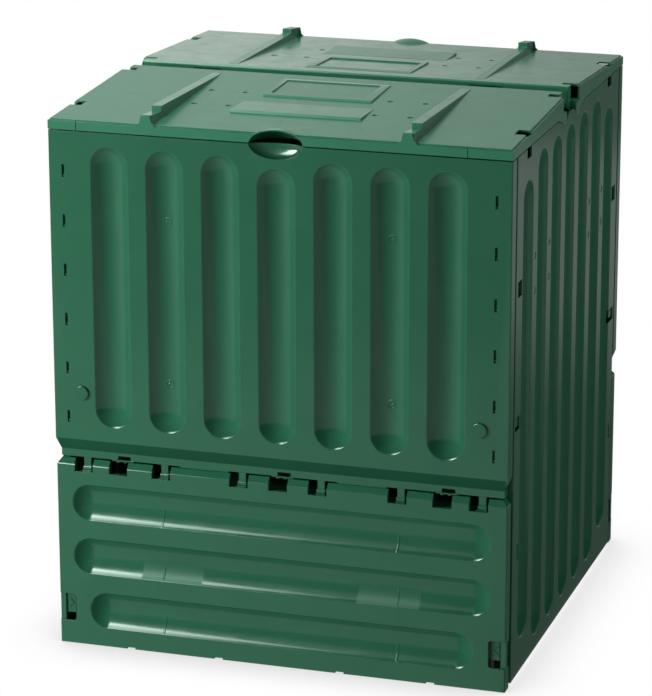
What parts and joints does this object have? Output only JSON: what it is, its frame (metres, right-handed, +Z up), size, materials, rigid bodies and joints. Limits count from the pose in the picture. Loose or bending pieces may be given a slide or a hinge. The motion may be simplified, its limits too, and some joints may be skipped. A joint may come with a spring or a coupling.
{
  "type": "compost bin with lid",
  "caption": "Square garden compost bin of clipped plastic wall panels, with a winged lid in two halves and a bottom flap at the front and the back",
  "frame": {"origin": "on the ground, under the middle of the bin", "axes": "X along the front, the front faces -Y, Z up"},
  "size_m": [0.7, 0.707, 0.835],
  "materials": {
    "wall": "injection-moulded polypropylene, dark green, satin gloss",
    "lid": "injection-moulded polypropylene, dark green, satin gloss",
    "fitting": "injection-moulded polypropylene, dark green, satin gloss"
  },
  "bodies": {
    "root": {"front_upper_panel": "wall", "back_upper_panel": "wall", "left_side_panel": "wall", "right_side_panel": "wall", "cross_strut": "wall", "front_left_brace": "fitting", "front_right_brace": "fitting", "back_left_brace": "fitting", "back_right_brace": "fitting", "front_left_stud": "fitting", "front_right_stud": "fitting", "back_left_stud": "fitting", "back_right_stud": "fitting", "front_left_keeper": "wall", "front_right_keeper": "wall", "back_left_keeper": "wall", "back_right_keeper": "wall"},
    "front_lid_half": {"front_lid": "lid"},
    "back_lid_half": {"back_lid": "lid"},
    "front_flap_door": {"front_flap": "wall"},
    "back_flap_door": {"back_flap": "wall"},
    "front_left_slider": {"front_left_catch": "fitting"},
    "front_right_slider": {"front_right_catch": "fitting"},
    "back_left_slider": {"back_left_catch": "fitting"},
    "back_right_slider": {"back_right_catch": "fitting"}
  },
  "joints": [
    {"name": "front_lid_hinge", "type": "hinge", "parent": "root", "child": "front_lid_half", "pos_m": [0, -0.043, 0.797], "axis": [-1, 0, 0], "range_deg": [0, 90]},
    {"name": "back_lid_hinge", "type": "hinge", "parent": "root", "child": "back_lid_half", "pos_m": [0, 0.043, 0.797], "axis": [1, 0, 0], "range_deg": [0, 90]},
    {"name": "front_flap_hinge", "type": "hinge", "parent": "root", "child": "front_flap_door", "pos_m": [0, -0.341, 0.281], "axis": [-1, 0, 0], "range_deg": [0, 90]},
    {"name": "back_flap_hinge", "type": "hinge", "parent": "root", "child": "back_flap_door", "pos_m": [0, 0.341, 0.281], "axis": [1, 0, 0], "range_deg": [0, 90]},
    {"name": "front_left_catch_slide", "type": "slide", "parent": "front_flap_door", "child": "front_left_slider", "axis": [0, 0, 1], "range_m": [-0.011, 0]},
    {"name": "front_right_catch_slide", "type": "slide", "parent": "front_flap_door", "child": "front_right_slider", "axis": [0, 0, 1], "range_m": [-0.011, 0]},
    {"name": "back_left_catch_slide", "type": "slide", "parent": "back_flap_door", "child": "back_left_slider", "axis": [0, 0, 1], "range_m": [-0.011, 0]},
    {"name": "back_right_catch_slide", "type": "slide", "parent": "back_flap_door", "child": "back_right_slider", "axis": [0, 0, 1], "range_m": [-0.011, 0]}
  ]
}
